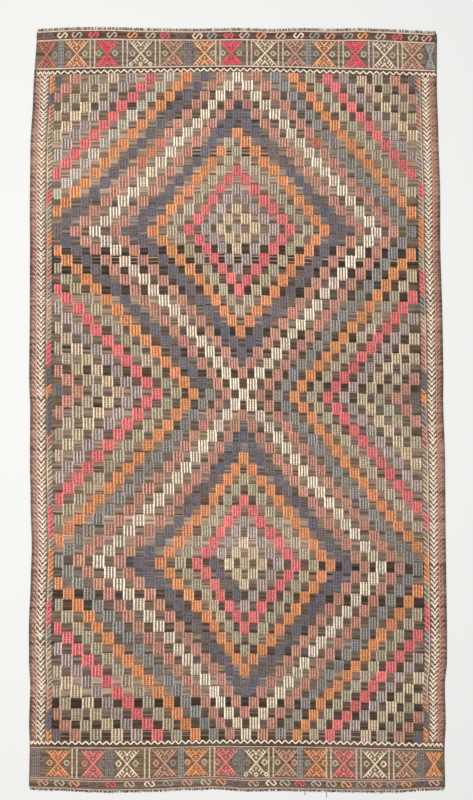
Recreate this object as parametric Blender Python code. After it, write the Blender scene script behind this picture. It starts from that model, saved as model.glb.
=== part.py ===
"""Kilim rug: one flat hand-woven cloth with a short cut fringe along each end.

Metres. X runs across the rug, Y along it (+Y is the head end), Z up.
The origin lies at the middle of the rug, on the surface that it rests on.
"""

import math

import bpy

# Driving dimensions of the cloth.
HALF_WIDTH = 0.848
HALF_LENGTH = 1.554
CLOTH_THICKNESS = 0.004
OUTLINE_STEP = 0.035
CORNER_RADIUS = 0.007
CORNER_STEPS = 3

# Driving dimensions of each fringe.
FRINGE_GAP = 0.0003
STRIP_DEPTH = 0.0025
FRINGE_THICKNESS = 0.0022
LOCKS = 148
LOCK_ROOT_SHARE = 0.78
LOCK_TIP_SHARE = 0.5
LOCK_LENGTH = 0.0072
LOCK_LENGTH_VARIATION = 0.0016
LOCK_LEAN = 0.0011
FRINGE_END_INSET = 0.006

# How far the woven edges lie in from the widest and the longest lines.
# Selvedges, foot to head: (place along the rug, inset), in millimetres.
LEFT_INSET_MM = (
    (-1554, 22), (-1380, 24), (-1290, 20), (-1140, 23), (-1040, 17), (-900, 15), (-740, 20),
    (-590, 23), (-390, 16), (-240, 12), (-40, 11), (110, 5), (310, 5), (610, 3), (810, 0),
    (1060, 0), (1270, 9), (1554, 22),
)
RIGHT_INSET_MM = (
    (-1554, 14), (-1390, 15), (-1290, 9), (-1140, 11), (-1040, 1), (-950, 0), (-490, 1),
    (-240, 0), (10, 5), (110, 3), (310, 4), (660, 10), (860, 8), (1110, 13), (1310, 17),
    (1554, 14),
)
# Ends, left to right: (place across the rug, inset), in millimetres.
HEAD_INSET_MM = (
    (-848, 8), (-640, 0), (-540, 0), (-340, 5), (-140, 7), (10, 4), (160, 8), (260, 4),
    (410, 7), (500, 4), (610, 8), (710, 13), (848, 20),
)
FOOT_INSET_MM = (
    (-848, 11), (-755, 8), (-520, 0), (-370, 2), (-180, 9), (-90, 12), (60, 4), (150, 7),
    (300, 4), (490, 0), (630, 0), (775, 8), (848, 12),
)

MM = 0.001

# Principled values: colour, roughness.
KILIM_LOOK = ((0.20, 0.15, 0.12, 1.0), 0.92)
FRINGE_LOOK = ((0.30, 0.24, 0.19, 1.0), 0.95)


def clear_scene():
    """Remove whatever the scene holds."""
    for item in list(bpy.data.objects):
        bpy.data.objects.remove(item, do_unlink=True)


def make_material(name, look):
    """A Principled material from a (colour, roughness) pair."""
    colour, roughness = look
    material = bpy.data.materials.new(name)
    material.use_nodes = True
    shader = material.node_tree.nodes["Principled BSDF"]
    shader.inputs["Base Color"].default_value = colour
    shader.inputs["Roughness"].default_value = roughness
    shader.inputs["Metallic"].default_value = 0.0
    return material


def inset_at(table_mm, place):
    """The edge's inset at a place, in metres, eased from one row of its table to the next."""
    place_mm = place / MM
    for (start, start_inset), (end, end_inset) in zip(table_mm, table_mm[1:]):
        if place_mm <= end:
            share = max(0.0, (place_mm - start) / (end - start))
            eased = share * share * (3 - 2 * share)
            return (start_inset + (end_inset - start_inset) * eased) * MM
    return table_mm[-1][1] * MM


def left_edge(y):
    return -HALF_WIDTH + inset_at(LEFT_INSET_MM, y)


def right_edge(y):
    return HALF_WIDTH - inset_at(RIGHT_INSET_MM, y)


def head_edge(x):
    return HALF_LENGTH - inset_at(HEAD_INSET_MM, x)


def foot_edge(x):
    return -HALF_LENGTH + inset_at(FOOT_INSET_MM, x)


def between(start, end, step):
    """Evenly spaced values from start to end, both included."""
    count = max(1, round(abs(end - start) / step))
    return [start + (end - start) * i / count for i in range(count + 1)]


def corner_arc(centre_x, centre_y, first_angle):
    """A quarter turn, anticlockwise, around a corner's centre."""
    points = []
    for i in range(CORNER_STEPS + 1):
        angle = first_angle + math.pi / 2 * i / CORNER_STEPS
        points.append((centre_x + CORNER_RADIUS * math.cos(angle), centre_y + CORNER_RADIUS * math.sin(angle)))
    return points


def cloth_outline():
    """The cloth's outline, anticlockwise from its foot's left corner."""
    far = HALF_LENGTH
    left_foot = (left_edge(-far) + CORNER_RADIUS, foot_edge(left_edge(-far)) + CORNER_RADIUS)
    right_foot = (right_edge(-far) - CORNER_RADIUS, foot_edge(right_edge(-far)) + CORNER_RADIUS)
    right_head = (right_edge(far) - CORNER_RADIUS, head_edge(right_edge(far)) - CORNER_RADIUS)
    left_head = (left_edge(far) + CORNER_RADIUS, head_edge(left_edge(far)) - CORNER_RADIUS)

    points = corner_arc(*left_foot, math.pi)
    points += [(x, foot_edge(x)) for x in between(left_foot[0], right_foot[0], OUTLINE_STEP)[1:-1]]
    points += corner_arc(*right_foot, -math.pi / 2)
    points += [(right_edge(y), y) for y in between(right_foot[1], right_head[1], OUTLINE_STEP)[1:-1]]
    points += corner_arc(*right_head, 0.0)
    points += [(x, head_edge(x)) for x in between(right_head[0], left_head[0], OUTLINE_STEP)[1:-1]]
    points += corner_arc(*left_head, math.pi / 2)
    points += [(left_edge(y), y) for y in between(left_head[1], left_foot[1], OUTLINE_STEP)[1:-1]]
    return points


def lock_outline(root_x, pitch, index, edge, outward):
    """One lock of cut warp ends: two root points around two tip points, left to right."""
    length = LOCK_LENGTH + LOCK_LENGTH_VARIATION * math.sin(2.4 * index)
    lean = LOCK_LEAN * math.sin(1.7 * index + 0.6)
    half_root = pitch * LOCK_ROOT_SHARE / 2
    half_tip = pitch * LOCK_TIP_SHARE / 2
    root_y = edge(root_x) + outward * (FRINGE_GAP + STRIP_DEPTH)
    tip_y = root_y + outward * length
    return [
        (root_x - half_root, root_y),
        (root_x + lean - half_tip, tip_y),
        (root_x + lean + half_tip, tip_y),
        (root_x + half_root, root_y),
    ]


def fringe_outline(edge, left, right, outward):
    """A comb: the strip that follows the cloth's edge, with every lock standing out from it."""
    pitch = (right - left) / LOCKS
    comb = [(left, edge(left) + outward * (FRINGE_GAP + STRIP_DEPTH))]
    for index in range(LOCKS):
        comb += lock_outline(left + pitch * (index + 0.5), pitch, index, edge, outward)
    comb.append((right, edge(right) + outward * (FRINGE_GAP + STRIP_DEPTH)))
    comb += [(x, edge(x) + outward * FRINGE_GAP) for x in between(right, left, OUTLINE_STEP)]
    return comb


def flat_piece(name, outline, thickness, material, collection):
    """A flat piece from a closed 2D outline, resting on the surface."""
    curve = bpy.data.curves.new(name, "CURVE")
    curve.dimensions = "2D"
    curve.fill_mode = "BOTH"
    curve.extrude = thickness / 2
    spline = curve.splines.new("POLY")
    spline.points.add(len(outline) - 1)
    for point, (x, y) in zip(spline.points, outline):
        point.co = (x, y, 0.0, 1.0)
    spline.use_cyclic_u = True
    curve.materials.append(material)
    piece = bpy.data.objects.new(name, curve)
    piece.location.z = thickness / 2
    collection.objects.link(piece)
    return piece


def make_rug():
    """Build the cloth and its two fringes."""
    clear_scene()
    collection = bpy.data.collections.new("kilim_rug")
    bpy.context.scene.collection.children.link(collection)
    kilim_material = make_material("kilim", KILIM_LOOK)
    fringe_material = make_material("fringe", FRINGE_LOOK)

    flat_piece("kilim", cloth_outline(), CLOTH_THICKNESS, kilim_material, collection)
    for name, edge, end_y, outward in (
        ("fringe_head", head_edge, HALF_LENGTH, 1),
        ("fringe_foot", foot_edge, -HALF_LENGTH, -1),
    ):
        left = left_edge(end_y) + FRINGE_END_INSET
        right = right_edge(end_y) - FRINGE_END_INSET
        outline = fringe_outline(edge, left, right, outward)
        flat_piece(name, outline, FRINGE_THICKNESS, fringe_material, collection)


make_rug()
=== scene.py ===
import math

import bpy
import numpy as np
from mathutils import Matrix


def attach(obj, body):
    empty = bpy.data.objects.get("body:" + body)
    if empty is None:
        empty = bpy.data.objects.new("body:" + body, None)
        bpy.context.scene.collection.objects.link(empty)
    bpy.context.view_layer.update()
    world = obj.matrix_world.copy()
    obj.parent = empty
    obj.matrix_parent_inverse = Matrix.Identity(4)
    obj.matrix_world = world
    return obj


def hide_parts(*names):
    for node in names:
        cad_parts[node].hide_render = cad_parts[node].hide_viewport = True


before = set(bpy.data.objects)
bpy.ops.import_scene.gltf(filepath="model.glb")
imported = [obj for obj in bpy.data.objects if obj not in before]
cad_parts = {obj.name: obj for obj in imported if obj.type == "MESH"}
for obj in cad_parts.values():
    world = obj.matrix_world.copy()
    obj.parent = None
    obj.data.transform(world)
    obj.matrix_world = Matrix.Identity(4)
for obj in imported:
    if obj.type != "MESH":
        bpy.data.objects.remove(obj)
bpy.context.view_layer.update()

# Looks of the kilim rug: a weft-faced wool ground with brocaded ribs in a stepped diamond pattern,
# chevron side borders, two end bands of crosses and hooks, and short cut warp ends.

MM = 0.001
RANDOM = np.random.default_rng(41)
BAND_RANDOM = np.random.default_rng(7)

# ---------------------------------------------------------------- sizes of the weave

# Heights, widths and pitches are in metres. Places in a cell are shares of its column or its row.
GROUND_TOP = 0.0026
SWELL = 0.0009
EDGE_ROUND = 0.0022
RIB_HEIGHT = 0.0013
RIB_WIDTH_SHARE = 0.62
# A cell's outer ribs are wider than the ones inside.
OUTER_RIB = 1.08
INNER_RIB = 0.92
FIRST_RIB = -0.53
RIB_PITCH = 0.317
RIB_START = -0.02
RIB_END = 1.12
RIB_SLIP = 0.035
RIB_ENDS = (0.7, 0.1)
# How many dark dots of painted shade, where floats turn down, the low yarn of a cell has along its row.
DOTS_A_CELL = 4.4
RIB_HUMPS = 7
BED_LIFT = 0.0003
LIFT_STEP = 0.00014
STROKE_HEIGHT = 0.0012
FLOAT_PITCH = 0.0019
# How far a furrow between floats climbs along its ridge over half the ridge's width.
FLOAT_SLANT = 0.0009

# The field is counted in cells: columns from the middle outwards, rows from head to foot.
LAST_COLUMN = 20
ROWS = 65
RIBS_A_CELL = 3
COLUMN_PITCH = 0.0368
ROW_PITCH = 0.0417
DIAMOND_ROWS = (16, 48)

# Where every fifth column's middle lies across the rug, in millimetres, at rows 0, 16, 32, 48 and 64.
COLUMN_ROWS = (0, 16, 32, 48, 64)
COLUMN_X_MM = {
    -20: (-740, -735, -725, -715, -720),
    -15: (-545, -535, -520, -510, -515),
    -10: (-350, -340, -320, -305, -310),
    -5: (-165, -155, -135, -120, -125),
    0: (10, 5, 30, 35, 40),
    5: (205, 190, 205, 210, 215),
    10: (380, 365, 375, 380, 375),
    15: (555, 545, 550, 555, 550),
    20: (735, 720, 730, 735, 730),
}

# Where every eighth weft line lies along the rug, and the field's last one, in millimetres, at five
# places across it.
WEFT_PLACES_MM = (-840, -400, 40, 440, 840)
WEFT_Y_MM = {
    0: (1360, 1370, 1375, 1365, 1355),
    8: (1045, 1055, 1060, 1050, 1045),
    16: (725, 730, 740, 730, 725),
    24: (415, 400, 400, 375, 365),
    32: (75, 65, 55, 40, 30),
    40: (-285, -285, -290, -305, -320),
    48: (-615, -625, -630, -640, -655),
    56: (-975, -970, -970, -995, -1010),
    65: (-1355, -1355, -1350, -1355, -1365),
}
# The lines of the two end bands, in rows, and how far each lies from the field's end to the cloth's.
HEAD_END, HEAD_RIM, HEAD_INNER, HEAD_LINE, HEAD_ZIGZAG = -4.55, -4.35, -3.4, -0.6, -0.22
HEAD_SHARES = {
    HEAD_END: 1.0, HEAD_RIM: 0.98, HEAD_INNER: 0.778, HEAD_LINE: 0.136, HEAD_ZIGZAG: 0.047, 0: 0.0,
}
FOOT_ZIGZAG, FOOT_LINE, FOOT_INNER, FOOT_RIM, FOOT_END = 65.25, 65.8, 68.85, 69.85, 70.05
FOOT_SHARES = {
    ROWS: 0.0, FOOT_ZIGZAG: 0.054, FOOT_LINE: 0.155, FOOT_INNER: 0.775, FOOT_RIM: 0.985, FOOT_END: 1.0,
}
# The foot has a second thin line this many rows below the inner one.
FOOT_PAIR_GAP = 0.21

# ---------------------------------------------------------------- colours

# Each yarn: its colour on a rib, and its colour in the hollows between ribs (sRGB, 0 to 255). The hollow
# colour is darker partly from the dark warps and ground that show through, and partly as painted shade in
# the gaps between raised ribs.
YARNS = {
    "ivory": ((237, 222, 200), (132, 114, 96)),
    "cream": ((230, 211, 190), (130, 112, 92)),
    "ecru": ((228, 210, 182), (130, 112, 90)),
    "straw": ((221, 199, 169), (131, 112, 90)),
    "apricot": ((230, 176, 140), (152, 98, 62)),
    "orange": ((223, 154, 110), (158, 101, 68)),
    "rust": ((200, 128, 102), (148, 92, 72)),
    "red": ((221, 129, 126), (166, 81, 80)),
    "crimson": ((216, 96, 104), (174, 72, 80)),
    "brick": ((184, 112, 100), (128, 76, 66)),
    "rose": ((202, 152, 132), (135, 93, 80)),
    "pink": ((200, 158, 141), (150, 108, 95)),
    "russet": ((186, 138, 118), (134, 95, 79)),
    "sage": ((191, 174, 154), (122, 105, 88)),
    "mint": ((201, 193, 177), (130, 117, 103)),
    "lilac": ((188, 171, 163), (113, 99, 92)),
    "grey": ((152, 147, 141), (98, 93, 88)),
    "ash": ((134, 123, 116), (100, 90, 84)),
    "slate": ((109, 102, 105), (90, 83, 86)),
    "blush": ((208, 182, 162), (146, 120, 100)),
    "fawn": ((188, 158, 140), (136, 110, 92)),
}
# How much a yarn's hue wanders from batch to batch, against how much its lightness does.
DYE_CAST = {"sage": 0.9, "mint": 0.5, "rose": 0.5, "orange": 0.4, "slate": 0.8, "ash": 0.8, "grey": 0.5}
# The yarns from the middle of a diamond outwards.
DIAMOND_YARNS = (
    "sage", "straw", "lilac", "red", "sage", "orange", "slate", "rose", "ivory", "rose",
    "slate", "orange", "sage", "red", "lilac", "straw", "sage", "rose", "slate",
)
GROUND_TONES = {
    "black": (62, 51, 42),
    "dark": (88, 74, 62),
    "umber": (98, 74, 60),
    "brown": (108, 92, 78),
    "clay": (119, 101, 81),
    "tawny": (118, 96, 75),
    "grey": (112, 104, 96),
    "tan": (123, 104, 89),
    "taupe": (138, 118, 102),
    "light": (152, 128, 110),
}
# The end bands' ground: from this row on, its tone. The field lies between the two groups.
END_GROUND = (
    (-4.7, "umber"), (-3.4, "clay"), (-0.5, "dark"), (65.9, "tawny"), (68.8, "brown"), (69.9, "dark"),
)
FOOT_GROUND_ROW = END_GROUND[3][0]
# The field's ground, from dark to light, and how light its weft bands are on that scale, from 0 to 5:
# from this row on, at the left, the middle and the right. Each row's own band wanders round that.
TONE_SCALE = ("black", "dark", "brown", "tan", "taupe", "light")
FIELD_STRETCHES = (
    (0, 3.0, 3.0, 1.7), (2, 2.3, 1.7, 2.0), (5, 4.0, 2.4, 3.0), (8, 4.6, 3.7, 3.6), (13, 2.8, 3.2, 1.8),
    (18, 1.4, 1.8, 0.6), (23, 3.2, 2.4, 1.7), (27, 2.2, 1.6, 1.2), (32, 2.6, 2.2, 1.8), (37, 3.0, 2.4, 2.6),
    (44, 3.7, 3.3, 2.5), (48, 1.7, 1.6, 1.0), (52, 1.3, 1.5, 1.0), (59, 4.2, 3.2, 1.0), (61, 0.8, 1.0, 1.2),
)
# How far a band wanders on that scale: all across, and on its own at each place.
BAND_WANDER = (0.6, 0.4)
TONE_PLACES_MM = (-520, 40, 560)
# How much of a streak's tone shows over the band that it crosses.
STREAK_SHARE = 0.8
# Single weft lines that stand out: row, tone, rows thick, and where each starts and ends in millimetres.
WEFT_STREAKS = (
    (1.1, "black", 0.14, 60, 420), (3.15, "black", 0.5, -640, -260), (5.1, "black", 0.35, 0, 330),
    (8.02, "black", 0.25, -190, 140), (8.42, "black", 0.22, -190, 140), (8.78, "black", 0.25, -190, 140),
    (18.15, "grey", 0.10, -740, -300), (18.95, "black", 0.24, -750, 750), (19.22, "light", 0.11, -750, 750),
    (19.36, "black", 0.22, -750, 750), (19.60, "taupe", 0.07, -750, 300), (19.70, "black", 0.22, -750, 750),
    (19.94, "light", 0.11, -750, 750), (20.08, "black", 0.3, -750, 750),
    (23.06, "black", 0.14, -750, 200), (23.92, "black", 0.2, -360, 750), (26.7, "black", 0.2, -200, 750),
    (28.25, "black", 0.3, -750, 300), (31.1, "black", 0.6, 300, 740), (34.1, "black", 0.16, -750, 750),
    (39.55, "black", 0.12, -750, 750), (41.72, "black", 0.16, -750, 750), (43.9, "black", 0.12, -750, 400),
    (45.06, "black", 0.14, -750, 750), (49.2, "black", 0.2, -750, 750), (54.55, "grey", 0.1, -750, 750),
    (55.5, "grey", 0.1, -750, 750), (64.2, "taupe", 0.08, -750, 750), (64.6, "taupe", 0.07, -750, 750),
)

# ---------------------------------------------------------------- side borders

# How far each feature lies in from the selvedge.
ROSE_SPINE = 0.028
ROSE_REACH = 0.016
LEFT_CREAM_MIDDLE = 0.046
RIGHT_CREAM_MIDDLE = 0.0476
CREAM_REACH = 0.0155
INNER_SPINE = 0.071
INNER_REACH = 0.019
CHEVRONS = 140
CHEVRON_RISE = 0.44
CHEVRON_TAIL = 0.26
# How wide each line of raised yarn is.
ROSE_WIDTH = 0.0050
ROSE_SPINE_WIDTH = 0.0058
CREAM_WIDTH = 0.0064
INNER_WIDTH = 0.0058
INNER_SPINE_WIDTH = 0.0062
# The inner half chevrons' yarns: each from this row on.
LEFT_INNER_YARNS = (
    (0, "orange"), (2.0, "slate"), (3.2, "rose"), (5.2, "sage"), (8.5, "straw"), (11.2, "lilac"),
    (12.2, "red"), (13.8, "sage"), (16.8, "orange"), (18.3, "sage"), (20.1, "rose"), (21.8, "lilac"),
    (23.8, "blush"), (26.0, "sage"), (28.1, "red"), (30.1, "slate"), (32.0, "orange"), (33.2, "slate"),
    (36.6, "rose"), (37.6, "sage"), (39.4, "straw"), (41.4, "lilac"), (43.3, "red"), (46.6, "sage"),
    (47.7, "orange"), (50.2, "sage"), (52.1, "red"), (54.3, "lilac"), (56.2, "straw"), (58.2, "sage"),
    (60.0, "rose"), (62.2, "slate"), (64.0, "orange"),
)
RIGHT_INNER_YARNS = (
    (0, "orange"), (1.4, "grey"), (3.4, "rose"), (5.9, "sage"), (8.8, "lilac"), (10.3, "sage"),
    (11.6, "red"), (13.2, "sage"), (14.8, "orange"), (18.2, "sage"), (20.1, "red"), (22.5, "grey"),
    (24.0, "blush"), (26.2, "rose"), (29.8, "slate"), (31.8, "orange"), (32.9, "grey"), (35.2, "rose"),
    (37.1, "sage"), (39.4, "straw"), (41.9, "lilac"), (43.1, "red"), (44.8, "sage"), (47.2, "orange"),
    (49.9, "sage"), (51.8, "red"), (54.1, "lilac"), (56.1, "straw"), (57.3, "sage"), (60.0, "rose"),
    (61.9, "slate"), (63.8, "orange"),
)

# ---------------------------------------------------------------- end bands

ZIGZAG_PERIOD = 0.0275
ZIGZAG_EDGE_PERIOD = 0.0165
# Past this far from the rug's middle the zigzag is tighter.
ZIGZAG_TIGHT = 0.755
ZIGZAG_HALF_HEIGHT = 0.0066
ZIGZAG_REACH = 0.826
# How wide the thin lines are at the head, where the foot has a pair, and at the rest of the foot.
LINE_WIDTHS = (0.0062, 0.0042, 0.0052)
ZIGZAG_WIDTH = 0.0060
CROSS_WIDTH = 0.0060
DIAMOND_WIDTH = 0.0056
HOOK_WIDTHS = (0.0064, 0.0056)
# How far from the rug's middle lines, crosses and small diamonds reach.
BAND_REACH = 0.824
DIAMOND_REACH = 0.815
# How far in from a selvedge lines and solid bars stay.
LINE_ROOM = 0.003
BAR_ROOM = 0.001
CROSS_HALF_WIDTH = 0.048
BAR_OFFSET = 0.0093
BAR_WIDTH = 0.0086
BAR_HALF_HEIGHT = 0.97
SOLID_STRAND_WIDTH = 0.0052
DIAMOND_OFFSET = 0.034
DIAMOND_HALF = 0.0112
FOOT_DIAMOND_HALF = 0.0075
BAND_HALF_HEIGHT = 0.056
# A small diamond takes the yarn of the bar that lies nearest to this far from its cross.
BAR_FROM_CROSS_MM = 65
# The middle of the end bands' pattern.
BAND_MIDDLE_MM = 40

# Hooks, crosses and bars of each end band: place across the rug in millimetres, and yarn.
HEAD_HOOKS = (
    (-780, "slate"), (-720, "ecru"), (-660, "sage"), (-590, "crimson"), (-515, "lilac"),
    (-430, "orange"), (-355, "sage"), (-295, "crimson"), (-230, "slate"), (-160, "ecru"),
    (-100, "grey"), (-30, "crimson"), (35, "lilac"), (105, "orange"), (185, "sage"), (260, "ecru"),
    (325, "grey"), (390, "rose"), (465, "grey"), (525, "orange"), (600, "lilac"), (670, "crimson"),
    (735, "sage"), (790, "rose"),
)
FOOT_HOOKS = (
    (-770, "rose"), (-705, "sage"), (-645, "orange"), (-570, "slate"), (-500, "crimson"),
    (-425, "sage"), (-345, "ecru"), (-270, "grey"), (-195, "rose"), (-120, "sage"),
    (-60, "orange"), (5, "slate"), (70, "rose"), (140, "ecru"), (195, "sage"), (255, "crimson"),
    (320, "lilac"), (380, "sage"), (440, "orange"), (500, "grey"), (560, "rose"), (620, "grey"),
    (680, "orange"), (735, "slate"), (790, "rose"),
)
# How much of the band's height the crosses fill, and how far they are shifted up.
HEAD_CROSS_FILL = (0.92, 0.0)
FOOT_CROSS_FILL = (0.87, -0.03)
HEAD_CROSSES = (
    (-785, "brick"), (-660, "apricot"), (-535, "crimson"), (-395, "ecru"), (-260, "rose"),
    (-130, "apricot"), (-20, "crimson"), (120, "ecru"), (245, "rose"), (365, "apricot"), (495, "crimson"),
    (615, "ecru"), (730, "rose"), (805, "grey"),
)
FOOT_CROSSES = (
    (-710, "orange"), (-570, "red"), (-435, "ecru"), (-285, "rose"), (-160, "orange"),
    (-40, "red"), (80, "ecru"), (200, "rose"), (320, "orange"), (430, "red"), (555, "ecru"),
    (680, "rose"), (790, "orange"),
)
HEAD_BARS = (
    (-725, "grey"), (-595, "sage"), (-460, "lilac"), (-325, "sage"), (-200, "ash"),
    (-75, "sage"), (55, "lilac"), (185, "sage"), (300, "grey"), (435, "sage"), (560, "lilac"),
    (680, "sage"),
)
FOOT_BARS = (
    (-800, "ash"), (-645, "sage"), (-505, "ash"), (-355, "sage"), (-220, "grey"),
    (-95, "sage"), (15, "ash"), (140, "sage"), (255, "grey"), (370, "sage"), (490, "lilac"),
    (620, "sage"), (735, "ash"),
)
# How solid each yarn's crosses are, at the head and at the foot. The rest are open.
HEAD_FILLS = {"crimson": 0.95, "brick": 0.9, "apricot": 0.75}
FOOT_FILLS = {"red": 0.7, "orange": 0.9}
OPEN_FILL = 0.3
DIAMOND_FILL = 0.55
# Crosses whose lower feet end in small diamonds, and the dark panel by the head's right edge.
DIAMOND_FOOTED_MM = (-395, 80)
HEAD_PANEL_MM = 805
HEAD_PANEL_HALF = 0.026
# Crosses past this place have no small diamonds at their sides.
PANEL_START_MM = 800
# Solid bars: half width, how much wider at half height, and where the strands lie.
SOLID_BARS = {
    "ash": (0.020, 0.022, (-0.014, -0.007, 0.0, 0.007, 0.014)),
    "grey": (0.012, 0.006, (-0.009, -0.003, 0.003, 0.009)),
}
MOTTLED_YARNS = ("slate", "ash", "grey")

# A hook's bends at the head end, in millimetres from its middle. The foot's are upside down.
HOOK_MM = ((-9, 12), (-21, 0), (-10, -12), (10, 12), (21, 2), (10, -11))

FOOT_HOOK_HEIGHT = 0.88
# Hooks over a wash of their own yarn, and the wash's corners from a hook's middle.
WASHED_HOOKS = ("crimson", "slate")
HOOK_FILL = 0.35
HOOK_WASH = np.array(((-0.019, -0.006), (0.010, -0.010), (0.019, 0.006), (-0.010, 0.010)))

# ---------------------------------------------------------------- fringe

TUFTS = 560
TUFT_WIDTH = 0.0028
TUFT_SWELLINGS = np.array([0.9, 1.0, 1.05, 1.0, 0.7])
# How far the first and last tuft lie in from the cloth's corners.
TUFT_MARGIN = 0.006
# How far the tufts reach past the cloth, the share of dark ones on top of every other, and their tone.
HEAD_TUFTS = (0.0112, 0.6, (108, 92, 79))
FOOT_TUFTS = (0.0078, 0.75, (78, 63, 50))
# How far a tuft runs back under the cloth's end.
TUFT_ROOT = 0.0035
TUFT_HEIGHT = 0.0019
TUFT_LIGHT = (214, 196, 176)
# How far above the floor the cut warp ends lie.
FRINGE_LEVEL = 0.0003
STRAY_STEPS = 14
STRAY_WIDTH = 0.0022
STRAY_TONE = (70, 58, 48)
# Long stray ends: place across the rug, end of the rug (1 for the head), and reach past the cloth.
STRAY_THREADS_MM = ((270, -1, 25), (355, -1, 33), (-505, 1, 12), (610, 1, 11))

# ---------------------------------------------------------------- camera, light and floor

VIEW_DISTANCE = 7.0
VIEW_TILT = math.radians(5.2)
VIEW_AIM = (0.002, 0.010, 0.003)
VIEW_HEIGHT_AT_AIM = 800 / 245.8
SENSOR = 36.0
FLOOR_SIZE = 16
FLOOR_DROP = 0.0004
FLOOR_TONE = (215, 215, 213)
LIGHT_SIZE = (4.0, 5.0)
LIGHT_PLACE = (-0.9, 0.3, 5.6)
LIGHT_TURN = (math.radians(-3), math.radians(-9), 0)
LIGHT_POWER = 330
LIGHT_COLOUR = (1.0, 0.985, 0.965)
ROOM_COLOUR = (0.96, 0.97, 1.0, 1.0)
ROOM_STRENGTH = 0.55


# ================================================================ maths

def vary(spread, *shape):
    """Random numbers round nought, in this shape."""
    return spread * RANDOM.standard_normal(shape)


def eased(x, stations, values):
    """Cubic interpolation of values (a row for each station) at x, flat beyond the ends."""
    stations = np.asarray(stations, float)
    values = np.asarray(values, float)
    slopes = np.gradient(values, stations, axis=0)
    x = np.clip(np.asarray(x, float), stations[0], stations[-1])
    k = np.clip(np.searchsorted(stations, x, side="right") - 1, 0, len(stations) - 2)
    span = stations[k + 1] - stations[k]
    t = (x - stations[k]) / span
    shape = t.shape + (1,) * (values.ndim - 1)
    t = t.reshape(shape)
    span = span.reshape(shape)
    start = (1 + 2 * t) * (1 - t) ** 2 * values[k] + t * (1 - t) ** 2 * span * slopes[k]
    end = t * t * (3 - 2 * t) * values[k + 1] + t * t * (t - 1) * span * slopes[k + 1]
    return start + end


def weights(x, stations):
    """How much each station counts at x."""
    return eased(x, stations, np.eye(len(stations)))


def table_at(rows, row_stations, columns, column_stations, table):
    """A two-way table read at (row, column) pairs."""
    return ((weights(rows, row_stations) @ table) * weights(columns, column_stations)).sum(-1)


def reached(stations, places):
    """Which station each place has last passed."""
    return np.clip(np.searchsorted(stations, places, side="right") - 1, 0, len(stations) - 1)


def linear(srgb):
    """An sRGB colour, 0 to 255, as linear light."""
    c = np.asarray(srgb, float) / 255
    return np.where(c <= 0.04045, c / 12.92, ((c + 0.055) / 1.055) ** 2.4)


# ================================================================ where things lie

CLOTH_POINTS = np.array([v.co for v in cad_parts["kilim"].data.vertices], float)


def outline_side(along, across, keep):
    """One side of the cloth's outline from the frame: sorted places and where the edge lies."""
    points = CLOTH_POINTS[keep]
    order = np.argsort(points[:, along])
    return points[order, along], points[order, across]


ACROSS, ALONG = CLOTH_POINTS.T[:2]
LEFT_SIDE = outline_side(1, 0, (ACROSS < -0.8) & (np.abs(ALONG) < 1.53))
RIGHT_SIDE = outline_side(1, 0, (ACROSS > 0.8) & (np.abs(ALONG) < 1.53))
HEAD_SIDE = outline_side(0, 1, (ALONG > 1.5) & (np.abs(ACROSS) < 0.82))
FOOT_SIDE = outline_side(0, 1, (ALONG < -1.5) & (np.abs(ACROSS) < 0.82))

WEFT_STATIONS = np.array(list(WEFT_Y_MM), float)
WEFT_TABLE = np.array(list(WEFT_Y_MM.values()), float) * MM
WEFT_PLACES = np.array(WEFT_PLACES_MM) * MM
COLUMN_STATIONS = np.array(list(COLUMN_X_MM), float)
COLUMN_TABLE = np.array(list(COLUMN_X_MM.values()), float) * MM


def edge(side, place):
    """Where a side of the cloth lies at a place along it."""
    return np.interp(place, *side)


def weft_y(row, x):
    """Where a weft line, counted in rows, lies along the rug at x."""
    y = table_at(row, WEFT_STATIONS, x, WEFT_PLACES, WEFT_TABLE)
    to_head = np.interp(row, list(HEAD_SHARES), list(HEAD_SHARES.values()))
    to_foot = np.interp(row, list(FOOT_SHARES), list(FOOT_SHARES.values()))
    return y + to_head * (edge(HEAD_SIDE, x) - y) + to_foot * (edge(FOOT_SIDE, x) - y)


def cell_place(column, row):
    """A place in the field, counted in columns and rows, as (x, y)."""
    column, row = np.broadcast_arrays(np.asarray(column, float), np.asarray(row, float))
    inner = np.clip(column, -LAST_COLUMN, LAST_COLUMN)
    x = table_at(inner, COLUMN_STATIONS, row, COLUMN_ROWS, COLUMN_TABLE)
    x = x + (column - inner) * COLUMN_PITCH
    return np.stack([x, weft_y(row, x)], -1)


def border_place(side, inset, row):
    """A place in a side border: how far in from the selvedge, and its row, as (x, y)."""
    inset, row = np.broadcast_arrays(np.asarray(inset, float), np.asarray(row, float))
    sign = -1 if side is LEFT_SIDE else 1
    y = weft_y(row, np.full(row.shape, sign * 0.8))
    return np.stack([edge(side, y) - sign * inset, y], -1)


def swell(x, y):
    """The cloth's faint unevenness where it lies on the floor, from 0 to SWELL."""
    wave = np.sin(2.3 * x + 1.1 * y + 0.7) + np.sin(4.9 * y - 1.7 * x)
    wave = wave + 0.6 * np.sin(7.3 * x + 2.9 * y + 2.0)
    return SWELL * (0.5 + wave / 5.2)


def cloth_top(x, y):
    """The height of the ground cloth's upper side."""
    return GROUND_TOP + swell(x, y)


# ================================================================ meshes

class YarnMesh:
    """Collects the raised yarn of one colour family and makes it one object."""

    def __init__(self):
        self.parts = ([], [], [], [])
        self.count = 0

    def add(self, points, faces, colours, along):
        """points (n, 3), faces (m, 4), colours (n, 3), along (n, 2): place on the yarn."""
        for part, values in zip(self.parts, (points, faces + self.count, colours, along)):
            part.append(values)
        self.count += len(points)

    def build(self, name):
        """The object, with a flat map seen from above."""
        points, faces, colours, along = (np.concatenate(part) for part in self.parts)
        return make_mesh(name, points, faces, colours, along, flat_map(points)[faces.ravel()])


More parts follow.
